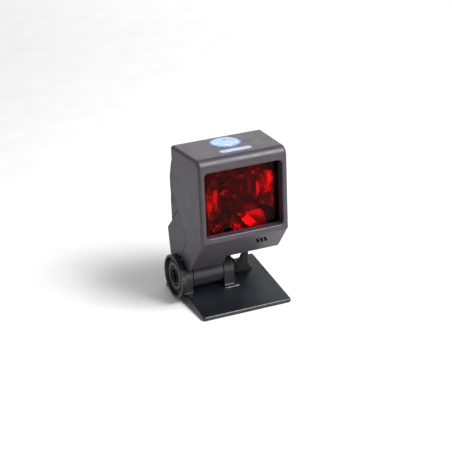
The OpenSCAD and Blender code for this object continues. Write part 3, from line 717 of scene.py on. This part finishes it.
def makeWindow():
    levels = (window["front"], window["front"] + window["thick"])
    pane = ringObject("window_pane", softPad(windowOutline(window["hidden"]), levels, headToFrame, 0.25,
                                             axis="y"))
    return finish(pane, "head", windowAcrylic, ["window"])


def makeButton():
    # the cap's top is a shallow dish with a raised rim
    top, r = head["height"], button["radius"]
    s, rimR = np.linspace(0, 1, 14), 0.5
    dish = np.stack([top + button["proud"] - button["dish"] * (1 - s ** 2), s * (r - 0.7)], -1)
    rim = arcPoints((r - rimR, top), rimR, 110, 0, 6)[:, ::-1]
    skirtTop, skirtEnd = top - button["skirt"][0], top - button["skirt"][1]
    stem, end = button["stemR"], button["stemEnd"]
    profile = np.concatenate([dish, rim, [(skirtTop, r), (skirtTop, r + rimR), (skirtEnd, r + rimR),
                                          (skirtEnd, stem), (end, stem), (end, 0)]])
    cap = spinObject("scan_button_cap", profile, "z", (*button["at"], 0), 128, headToFrame)
    return finish(cap, "button", buttonPlastic, ["scan_button"], sharpDeg=40)


def makeHalo():
    # a flattened half round between two straight walls
    low = button["radius"] + button["gap"]
    high = low + button["halo"]
    spring, foot, flat = head["height"] - 0.35, head["height"] - 2.6, 0.75
    crown = arcPoints(((low + high) / 2, spring), (high - low) / 2, 180, 0, 8)
    crown = np.stack([spring + (crown[:, 1] - spring) * flat, crown[:, 0]], -1)
    profile = np.concatenate([[(foot, low)], crown, [(foot, high)]])
    ring = spinObject("button_halo_ring", profile, "z", (*button["at"], 0), 128, headToFrame)
    return finish(ring, "head", haloPlastic, ["button_halo"], sharpDeg=40)


def makeLightBar():
    top = head["height"]
    outline = roundOutline(boxOutline(lightBar["length"], lightBar["width"], lightBar["at"]),
                           lightBar["width"] / 2 - 0.02, 10)
    levels = (top - lightBar["deep"], top + lightBar["proud"])
    bar = ringObject("light_bar_lens", softPlug(outline, levels, headToFrame, 0.35))
    return finish(bar, "head", barPlastic, ["light_bar"])


makeWindow()
makeButton()
makeHalo()
makeLightBar()


def makeWheel():
    # five mirrored facets, leaning forwards, round a black moulded hub
    front, back = wheel["reach"]
    a = np.radians(90 + 72 * np.arange(5))
    five = np.stack([np.cos(a), np.sin(a)], -1)
    radii = np.array([0.93 * wheel["frontR"], wheel["frontR"], wheel["backR"], 0.97 * wheel["backR"]])
    rings = [roundOutline(five * r, 0.4, 3) + wheel["at"] for r in radii]
    soft = 0.3
    block = ringObject("polygon_wheel_block", along("y", rings, [front, front + soft, back - soft, back],
                                                    headToFrame))
    bore = wheel["boreR"]
    carve(block, spinObject("bore", [(front - 1, 0), (front - 1, bore), (back + 1, bore), (back + 1, 0)], "y",
                            (wheel["at"][0], 0, wheel["at"][1]), 32, headToFrame))
    finish(block, "spinner", mirrorCoat, ["polygon_wheel"])
    block.data.materials.append(framePlastic)
    normals = np.empty(len(block.data.polygons) * 3)
    block.data.polygons.foreach_get("normal", normals)
    endOn = np.abs(normals.reshape(-1, 3) @ np.array([0, cos(lean), -sin(lean)])) > 0.6
    block.data.polygons.foreach_set("material_index", endOn.astype(np.int32))


wheel = {"at": (1.0, 26.0), "reach": (21.0, 29.0), "frontR": 8.3, "backR": 10.5, "boreR": 1.5}
makeWheel()


hinge = {
    "barrelR": 11.5, "edge": 0.5, "journalR": 9.3, "boreR": 8.0, "boreEnd": -15, "boltR": 3.05,
    "earGap": 0.3, "tongue": (30, 2.6), "tongueAt": (35, 3.5), "tongueAcross": [-22, -12],
    "ringR": 17.3, "rimR": 15.5, "grooveR": (14.8, 11.5), "hubR": 8.0, "grooveDeep": 3.3, "hubDrop": 1.3,
    "socket": (8.6, 13.2), "socketWall": 1.0, "socketLong": 15.0, "socketLean": 16.0,
    "latch": (1.4, 4.2),
}
hingeAt = (0, hingeY, hingeZ)
ringLow, ringHigh = boxOf("port_ring")
centreLow, centreHigh = boxOf("centre_ear")


def makeBarrel():
    # knuckle and hollow journal in one moulding, with the tongue that runs up inside the leg
    r, e, gap = hinge["barrelR"], hinge["edge"], hinge["earGap"]
    left, right, inner, boltBore = earHigh[0] + gap, centreLow[0] - gap, hinge["boreEnd"], 2.0
    profile = np.concatenate([
        [(ringHigh[0], hinge["boreR"]), (ringHigh[0], hinge["journalR"]), (left, hinge["journalR"])],
        arcPoints((left + e, r - e), e, 180, 90, 4), arcPoints((right - e, r - e), e, 90, 0, 4),
        [(right, boltBore), (inner, boltBore), (inner, hinge["boreR"])]])
    barrel = spinObject("hinge_knuckle", profile, "x", hingeAt, 128)
    tongue = ringObject("tongue", along("x", [boxOutline(*hinge["tongue"], hinge["tongueAt"])] * 2,
                                        hinge["tongueAcross"], chinToFrame))
    weld(barrel, tongue)
    return finish(barrel, "head", hingePlastic, ["hinge_barrel"])


def makePortRing():
    # a flanged ring: outer rim, deep groove, then the hub round the socket
    face, back, r = ringLow[0], ringHigh[0], hinge["ringR"]
    outer, inner = hinge["grooveR"]
    floor = face + hinge["grooveDeep"]
    hubFace, soft = face + hinge["hubDrop"], 0.4
    profile = np.concatenate([
        [(back, hinge["hubR"]), (back, r - 0.7), (back - 0.25, r - 0.2), (back - 0.7, r)],
        arcPoints((face + 0.7, r - 0.7), 0.7, 90, 180, 5),
        arcPoints((face + soft, hinge["rimR"] + 0.2), soft, 180, 270, 4),
        [(face + 1.2, outer + 0.3)], arcPoints((floor - soft, outer - soft), soft, 90, 0, 3),
        arcPoints((floor - soft, inner + soft), soft, 0, -90, 3),
        arcPoints((hubFace + soft, inner - 0.5), soft, 90, 180, 4),
        [(hubFace, hinge["hubR"] + 0.3), (hubFace + 0.3, hinge["hubR"])]])
    ring = spinObject("port_ring_flange", profile, "x", hingeAt, 160)
    return finish(ring, "head", ringPlastic, ["port_ring"], sharpDeg=35)


def socketToFrame(p):
    # the socket leans back with the head and a little more
    x, y, z = np.moveaxis(np.asarray(p, float), -1, 0)
    a = lean + radians(hinge["socketLean"])
    return np.stack([x, hingeY + y * cos(a) + z * sin(a), hingeZ + z * cos(a) - y * sin(a)], -1)


def makeSocket():
    # a rounded tube with a bell mouth and a latch notch, closed at its inner end
    w, h = hinge["socket"]
    wall = hinge["socketWall"]
    mouth = boxOf("cable_socket")[0][0]
    outline, edge = roundOutline(boxOutline(w, h), 0.8), 0.4
    a = quarter(4)
    outer = along("x", [offsetOutline(outline, k) for k in np.concatenate([edge * (1 - np.sin(a)), [0]])],
                  np.concatenate([mouth + edge * (1 - np.cos(a)), [mouth + hinge["socketLong"]]]),
                  socketToFrame)
    body = ringObject("cable_socket_body", outer)
    flare = np.concatenate([[edge], edge * (1 - np.sin(a)), [0]])
    bore = along("x", [offsetOutline(outline, wall - f) for f in flare],
                 np.concatenate([[mouth - 1], mouth + edge * (1 - np.cos(a)),
                                 [mouth + hinge["socketLong"] - 2]]),
                 socketToFrame)
    notch = along("x", [boxOutline(*hinge["latch"], (-w / 2 + 0.9, 0))] * 2, [mouth - 1, mouth + 9],
                  socketToFrame)
    carve(body, ringObject("bore", bore), ringObject("notch", notch))
    return finish(body, "head", socketPlastic, ["cable_socket"])


makeBarrel()
makePortRing()
makeSocket()

stand = {
    "frontHalf": 37.5, "backHalf": 40.2, "taper": 4.0, "frontHigh": 3.2, "backHigh": 12.4, "lift": 0.5,
    "edge": 1.1, "cornerR": 2.0, "footR": 3.0,
    "footAt": [(-31, -17.5), (31, -17.5), (-35.2, 38), (35.2, 38), (0, 0)],
    "screwAt": [(-35.3, 10.6), (-35.3, 29), (-0.5, 10.6), (-0.5, 29), (20.3, 25)], "screwR": 2.1,
    "pocket": (62.8, 47.8), "pocketAt": (0, 15.5), "notch": (38.5, 10), "notchAt": (9.25, 45.4),
    "backSlope": 0.6, "runClear": 0.15, "grooveR": 12, "reliefX": -38.2, "reliefR": 18.2,
    "earEdge": 0.6, "strutAcross": [22.5, 27.0],
}
standLow, standHigh = boxOf("stand_base")
standDeep = standHigh[1] - standLow[1]


def standTop(y):
    return stand["frontHigh"] + (y - standLow[1]) / standDeep * (stand["backHigh"] - stand["frontHigh"])


def wedgeRing(share, inset, drop=0.0):
    # the plan narrows from the bottom (share 0) to the sloping top (share 1)
    top = stand["backHigh"] / (stand["backHigh"] + 1) * stand["taper"]
    back = stand["backHalf"] - share * top
    y0, y1 = standLow[1], standHigh[1] - share * stand["backSlope"]
    corners = [(-stand["frontHalf"], y0), (stand["frontHalf"], y0), (back, y1), (-back, y1)]
    plan = roundOutline(offsetOutline(corners, inset), stand["cornerR"] - min(inset, 1.5), 5)
    z = stand["lift"] + share * (standTop(plan[:, 1]) - stand["lift"]) - drop
    return np.stack([plan[:, 0], plan[:, 1], z], -1)


def wellBelow(name, at, radius, high, segments):
    return spinObject(name, [(-1, 0), (-1, radius), (high, radius), (high, 0)], "z", (*at, 0), segments)


def makeStandBase():
    # the wedge's walls rise to a top edge rounded along a quarter circle
    e, a = stand["edge"], quarter(6)
    low = [wedgeRing(0, 0.3), wedgeRing(0, 0, -0.3)]
    crown = [wedgeRing(1, e * (1 - np.cos(t)), e * (1 - np.sin(t))) for t in a]
    base = ringObject("stand_wedge", np.stack(low + crown))
    left, right, r = earHigh[0] + stand["runClear"], centreLow[0] - stand["runClear"], stand["grooveR"]
    groove = spinObject("groove", [(left, 0), (left, r), (right, r), (right, 0)], "x", hingeAt, 128)
    out, side, r = -60, stand["reliefX"], stand["reliefR"]
    relief = spinObject("relief", [(out, 0), (out, r), (side, r), (side, 0)], "x", hingeAt, 128)
    pocketOutline = roundOutline(boxOutline(*stand["pocket"], stand["pocketAt"]), 1.2)
    pocket = ringObject("pocket", along("z", [pocketOutline] * 2, [-1, 1.5]))
    notchOutline = boxOutline(*stand["notch"], stand["notchAt"])
    cableNotch = ringObject("notch", along("z", [notchOutline] * 2, [-1, 20]))
    carve(base, groove, relief, pocket, cableNotch,
          *[wellBelow(f"foot well {i}", at, stand["footR"] + 0.1, 1.3, 48)
            for i, at in enumerate(stand["footAt"][:4])],
          *[wellBelow(f"screw well {i}", at, stand["screwR"], standTop(at[1]) - 2.2, 32)
            for i, at in enumerate(stand["screwAt"])])
    return finish(base, "stand", standPlastic, ["stand_base"])


def earRings(x0, x1, spread):
    # an arch whose legs flare out at the foot with the square of the way down their last stretch,
    # with both faces' edges rounded
    r, stretch = hinge["barrelR"], 1.4
    arch = arcPoints((hingeY, hingeZ), r, 0, 180, 48)
    fall = np.linspace(hingeZ, standTop(hingeY) - 1.5, 40)[1:]
    drop = hingeZ - standTop(hingeY - r) - 0.6
    flare = spread * np.clip((hingeZ - fall - drop) / stretch + 1, 0, stretch) ** 2
    left = np.stack([hingeY - r - flare, fall], -1)
    right = np.stack([hingeY + r + flare * 0.5, fall], -1)[::-1]
    outline = np.concatenate([arch, left, right])
    e, a = stand["earEdge"], quarter(4)
    amounts = np.concatenate([e * (1 - np.sin(a)), (e * (1 - np.sin(a)))[::-1]])
    places = np.concatenate([x0 + e * (1 - np.cos(a)), (x1 - e * (1 - np.cos(a)))[::-1]])
    return along("x", [offsetOutline(outline, k) for k in amounts], places)


def makeEar(name, node, x0, x1, bore, spread):
    ear = ringObject(name, earRings(x0, x1, spread))
    start, end = x0 - 1, x1 + 1
    carve(ear, spinObject("bore", [(start, 0), (start, bore), (end, bore), (end, 0)], "x", hingeAt, 96))
    return finish(ear, "stand", hingePlastic, [node])


def makeStrut():
    # a flared prop: its sides sweep out to a wide foot
    outline = [(8.0, 6.0), (9.5, 11.0), (13.2, 16.5), (16.4, 19.5), (19.0, 25.0), (20.0, 29.6), (23.6, 29.2),
               (22.9, 24.0), (22.4, 16.5), (24.5, 12.5), (27.0, 9.5), (27.0, 6.0)]
    smooth = roundOutline(outline[::-1], [0.3, 2, 5, 5, 6, 1, 1, 6, 5, 5, 2, 0.3], 5)
    prop = ringObject("stand_prop", softPad(smooth, stand["strutAcross"], keepSame, 0.6, 3, "y"))
    return finish(prop, "stand", strutPlastic, ["stand_strut"])


def makeFeet():
    # low domes with a rounded rim, one object of five pads
    r, e = stand["footR"], 0.35
    profile = np.concatenate([[(1.2, 0), (1.2, r)], arcPoints((e, r - e), e, 90, 180, 4), [(0, 0)]])
    points, faces, count = [], [], 0
    for x, y in stand["footAt"]:
        pad = spin(profile, "z", (x, y, 0), 48)
        points.append(pad.reshape(-1, 3))
        faces += [[k + count for k in f] for f in ringFaces(len(profile), 48, False)]
        count += pad.shape[0] * pad.shape[1]
    feet = makeObject("rubber_foot_pads", np.concatenate(points), faces)
    return finish(feet, "stand", rubber, ["rubber_feet"])


def makeEarHighlightStrip():
    # a thin bright steel strip along the foot of the middle ear, standing in for a painted highlight on the
    # foot's edge
    y = hingeY - hinge["barrelR"] - 2.2
    z = standTop(y)
    outline = roundOutline([(y - 0.7, z - 0.4), (y + 1.2, z - 0.2), (y + 1.2, z + 0.5),
                            (y - 0.7, z + 0.2)], 0.15, 4)
    strip = ringObject("ear_foot_highlight_strip", along("x", [outline] * 2, [centreLow[0], centreHigh[0] + 3]))
    return finish(strip, "stand", steel)


makeStandBase()
makeEar("left_ear_arch", "left_ear", earLow[0], earHigh[0], 10.15, 0.2)
makeEar("centre_ear_arch", "centre_ear", centreLow[0], centreHigh[0], hinge["boltR"], 1.3)
makeStrut()
makeFeet()
makeEarHighlightStrip()

# the inner pieces keep their meshes, and each gets its real finish
finishes = {
    "ballast_plate": motorSteel, "bottom_cover": innerPlastic, "stand_screws": steel, "ear_bush": acetal,
    "friction_washer": fibre, "spring_washer": blackSteel, "pivot_bolt": blackSteel,
    "socket_contacts": contactGold, "ribbon_lead": filmPolyimide, "window_gasket": rubber,
    "switch_plunger": chipResin, "button_board": boardLacquer, "button_switch": chipResin,
    "status_leds": whiteNylon, "optics_frame": framePlastic, "laser_module": laserBrass,
    "collimator_lens": filterGlass, "turning_mirror": mirrorCoat, "motor_shaft": steel,
    "spinner_motor": motorSteel, "motor_board": boardLacquer, "pattern_mirrors": mirrorCoat,
    "collecting_mirror": mirrorCoat, "photodetector": chipResin, "optical_filter": filterGlass,
    "detector_board": boardLacquer, "main_board": boardLacquer, "board_chips": chipResin,
    "board_connector": whiteNylon, "speaker": chipResin, "speaker_gauze": gauzeCloth, "case_screws": steel,
    "frame_screws": steel,
}
for node, material in finishes.items():
    nodes[node].data.materials.clear()
    nodes[node].data.materials.append(material)
print("finishes on", len(finishes), "kept pieces")

camera = {
    "place": (-0.47351, -0.99223, 0.59976),
    "azimuth": -25.167, "elevation": 26.035,   # where it stands, seen from the object, in degrees
    "lens": 127.64, "sensor": 36.0,
}


def makeCamera():
    data = bpy.data.cameras.new("camera")
    data.lens = camera["lens"]
    data.sensor_width = camera["sensor"]
    data.clip_start = 0.05
    eye = bpy.data.objects.new("camera", data)
    a, e = radians(camera["azimuth"]), radians(camera["elevation"])
    back = Vector((sin(a) * cos(e), -cos(a) * cos(e), sin(e)))
    eye.location = camera["place"]
    eye.rotation_mode = "QUATERNION"
    eye.rotation_quaternion = (-back).to_track_quat("-Z", "Y")
    bpy.context.scene.collection.objects.link(eye)
    bpy.context.scene.camera = eye


def paleFloor():
    # matt pale studio paper
    material, tree = newMaterial("matt studio paper")
    here = addNode(tree, "ShaderNodeTexCoord").outputs["Object"]
    pulp = addNode(tree, "ShaderNodeTexNoise", {"Scale": 40.0, "Detail": 2.0}, {"Vector": here})
    colour = addNode(tree, "ShaderNodeValToRGB", links={"Fac": pulp.outputs["Fac"]})
    setRamp(colour, [(0.3, "#f2f2f2"), (0.7, "#f6f6f6")])
    closeMaterial(tree, addNode(tree, "ShaderNodeBsdfPrincipled", {"Roughness": 0.9}, {
        "Base Color": colour.outputs["Color"]}))
    return material


def makeFloor():
    # a flat sheet that rises smoothly behind the object
    # height = rise times the square of the way from the flat part's rim, in metres
    half, rise, flatR, slope, across, deep = 6.0, 1.5, 2.5, 3.0, 41, 81
    u, v = np.meshgrid(np.linspace(-half, half, across), np.linspace(-half, half, deep), indexing="ij")
    lift = np.clip((np.hypot(u, v) - flatR) / slope, 0, 1) ** 2 * rise
    points = np.stack([u, v, lift], -1)
    i, j = np.meshgrid(np.arange(across - 1), np.arange(deep - 1), indexing="ij")
    a = i * deep + j
    faces = np.stack([a, a + deep, a + deep + 1, a + 1], -1).reshape(-1, 4).tolist()
    mesh = bpy.data.meshes.new("floor")
    mesh.from_pydata(points.reshape(-1, 3).tolist(), [], faces)
    floor = bpy.data.objects.new("floor", mesh)
    bpy.context.scene.collection.objects.link(floor)
    mesh.materials.append(paleFloor())
    mesh.shade_smooth()


lamps = {
    # name: place, aimed at, size, watts, colour
    "top softbox": ((0.35, -0.4, 0.8), (0, 0, 0.06), (0.42, 0.42), 11.0, "#ffffff"),
    "front softbox": ((0.3, -1.0, 0.12), (0, 0, 0.06), (0.6, 0.2), 1.4, "#fffaf6"),
    "back softbox": ((0.5, 0.9, 0.35), (0, 0, 0.06), (0.9, 0.5), 2.0, "#ffffff"),
}


def makeLamps():
    for name, (place, aim, size, watts, colour) in lamps.items():
        data = bpy.data.lights.new(name, "AREA")
        data.shape = "RECTANGLE"
        data.size, data.size_y = size
        data.energy = watts
        data.color = toLinear(colour)[:3]
        lamp = bpy.data.objects.new(name, data)
        lamp.location = place
        lamp.rotation_mode = "QUATERNION"
        lamp.rotation_quaternion = (Vector(aim) - Vector(place)).to_track_quat("-Z", "Y")
        bpy.context.scene.collection.objects.link(lamp)
    world = bpy.data.worlds.new("studio")
    world.use_nodes = True
    world.node_tree.nodes["Background"].inputs["Color"].default_value = toLinear("#ffffff")
    world.node_tree.nodes["Background"].inputs["Strength"].default_value = 0.46
    bpy.context.scene.world = world
    bpy.context.scene.view_settings.view_transform = "Standard"


makeCamera()
makeFloor()
makeLamps()
